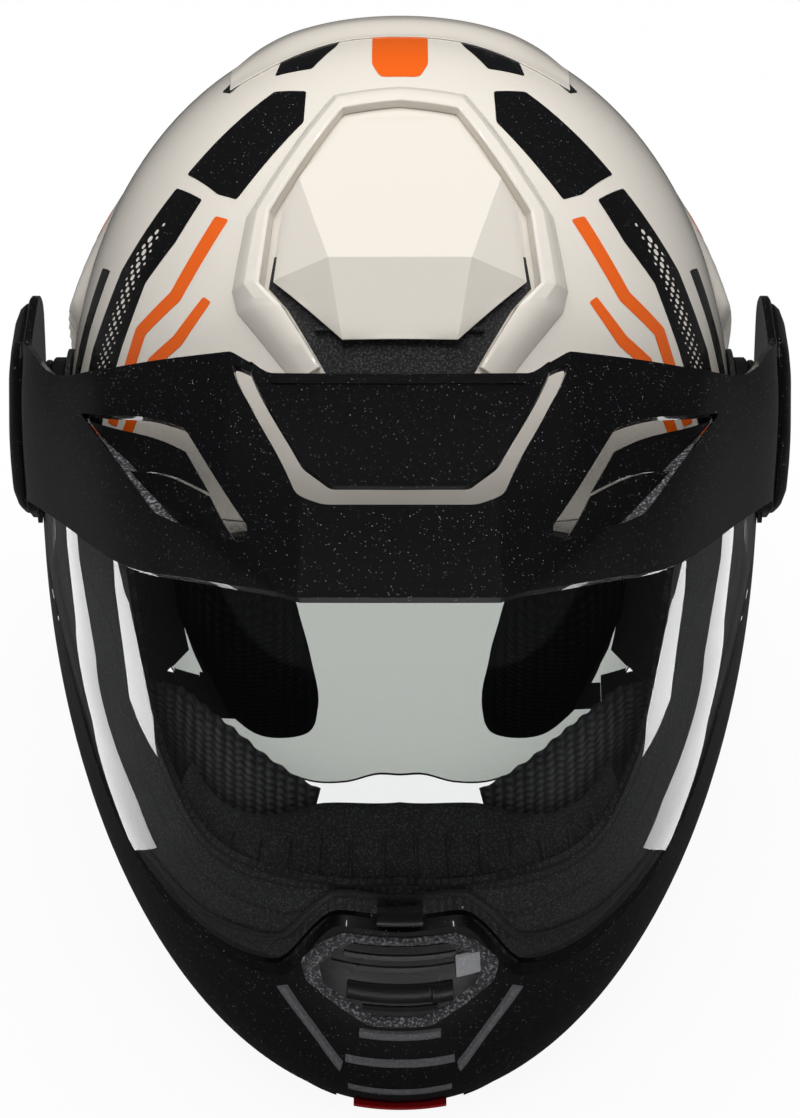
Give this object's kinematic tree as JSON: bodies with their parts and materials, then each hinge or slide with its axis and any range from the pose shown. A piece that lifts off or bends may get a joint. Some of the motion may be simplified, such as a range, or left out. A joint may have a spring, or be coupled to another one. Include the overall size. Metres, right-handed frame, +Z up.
{
  "type": "modular motorcycle helmet",
  "caption": "Modular motorcycle helmet whose chin bar, shield and peak swing up together; the shield, a smoked inner visor, vents, latch and chin-strap buckle also move.",
  "frame": {"origin": "middle of the bounding box, on the flat bottom ring of the rubber edge trim", "axes": "+Z up, -Y towards the face side, X from the left cheek to the right one"},
  "size_m": [0.2792, 0.3839, 0.2685],
  "materials": {
    "shell_paint": "pearl cream gloss paint",
    "gloss_black": "gloss black paint with metallic flakes",
    "matte_black": "speckled matte black moulding",
    "liner_foam": null,
    "lining_cloth": "padded lining cloth",
    "webbing": "woven webbing",
    "seal_rubber": "soft matte seal",
    "clear_shield": "clear hard-coated lens",
    "smoked_lens": "smoked lens",
    "steel": "brushed",
    "red_plastic": "red gloss"
  },
  "bodies": {
    "shell": {"outer_shell": "shell_paint", "eps_liner": "liner_foam", "crown_pad": "lining_cloth", "cheek_pad_left": "lining_cloth", "cheek_pad_right": "lining_cloth", "neck_roll": "lining_cloth", "shell_edge_trim": "seal_rubber", "brow_gasket": "seal_rubber", "top_vent_base": "matte_black", "rear_spoiler": "gloss_black", "rear_exhaust_vent": "matte_black", "hinge_base_left": "matte_black", "hinge_base_right": "matte_black", "hinge_screws": "steel", "lock_pins": "steel", "strap_left": "webbing", "strap_right": "webbing", "strap_anchors": "steel", "buckle_receiver": "matte_black", "buckle_ladder": "matte_black", "sun_visor_pivots": "matte_black", "slider_track": "matte_black"},
    "top_vent_cover": {"top_vent_cover": "gloss_black"},
    "sun_visor": {"sun_visor": "smoked_lens"},
    "sun_visor_slider": {"sun_visor_slider": "matte_black"},
    "chin_bar": {"chin_bar_shell": "shell_paint", "chin_bar_foam": "liner_foam", "chin_bar_trim": "seal_rubber", "chin_vent_frame": "matte_black", "breath_guard": "seal_rubber", "shield_gasket": "seal_rubber", "latch_pivots": "steel", "peak": "gloss_black", "peak_air_guide": "matte_black", "peak_louvres": "matte_black", "peak_side_covers": "gloss_black", "peak_screws": "steel"},
    "chin_vent_shutter": {"chin_vent_shutter": "matte_black"},
    "release_button": {"release_button": "red_plastic"},
    "latch_hook_left": {"latch_hook_left": "steel"},
    "latch_hook_right": {"latch_hook_right": "steel"},
    "face_shield": {"face_shield": "clear_shield", "shield_tab": "matte_black", "antifog_pins": "matte_black"},
    "buckle_lever": {"buckle_lever": "red_plastic"}
  },
  "joints": [
    {"name": "chin_bar_flip", "type": "hinge", "parent": "shell", "child": "chin_bar", "pos_m": [0, 0.032, 0.118], "axis": [-1, 0, 0], "range_deg": [0, 75]},
    {"name": "shield_tilt", "type": "hinge", "parent": "chin_bar", "child": "face_shield", "pos_m": [0, 0.032, 0.118], "axis": [-1, 0, 0], "range_deg": [0, 20]},
    {"name": "sun_visor_swing", "type": "hinge", "parent": "shell", "child": "sun_visor", "pos_m": [0, 0.032, 0.118], "axis": [-1, 0, 0], "range_deg": [0, 50]},
    {"name": "sun_visor_slide", "type": "slide", "parent": "shell", "child": "sun_visor_slider", "axis": [0, 1, 0], "range_m": [0, 0.03]},
    {"name": "top_vent_slide", "type": "hinge", "parent": "shell", "child": "top_vent_cover", "pos_m": [0, 0.04216, 0.10761], "axis": [-1, 0, 0], "range_deg": [0, 2.4]},
    {"name": "chin_vent_slide", "type": "slide", "parent": "chin_bar", "child": "chin_vent_shutter", "axis": [0, 0.287, 0.9579], "range_m": [0, 0.003]},
    {"name": "release_button_press", "type": "slide", "parent": "chin_bar", "child": "release_button", "axis": [0, 0, 1], "range_m": [0, 0.0025], "stiffness_N_per_m": 800, "springref_m": -0.002},
    {"name": "latch_left_turn", "type": "hinge", "parent": "chin_bar", "child": "latch_hook_left", "pos_m": [-0.0975, -0.051, 0.023], "axis": [1, 0, 0], "range_deg": [0, 15]},
    {"name": "latch_right_turn", "type": "hinge", "parent": "chin_bar", "child": "latch_hook_right", "pos_m": [0.0975, -0.051, 0.023], "axis": [1, 0, 0], "range_deg": [0, 15]},
    {"name": "buckle_lever_lift", "type": "hinge", "parent": "shell", "child": "buckle_lever", "pos_m": [-0.0637, 0.014, 0.0124], "axis": [0, -1, 0], "range_deg": [0, 20], "stiffness_Nm_per_rad": 0.05, "springref_deg": -5.73}
  ],
  "couplings": [
    {"joint": "sun_visor_slide", "follows": "sun_visor_swing", "m_per_rad": 0.0343},
    {"joint": "latch_left_turn", "follows": "release_button_press", "rad_per_m": 104.7},
    {"joint": "latch_right_turn", "follows": "release_button_press", "rad_per_m": 104.7}
  ]
}
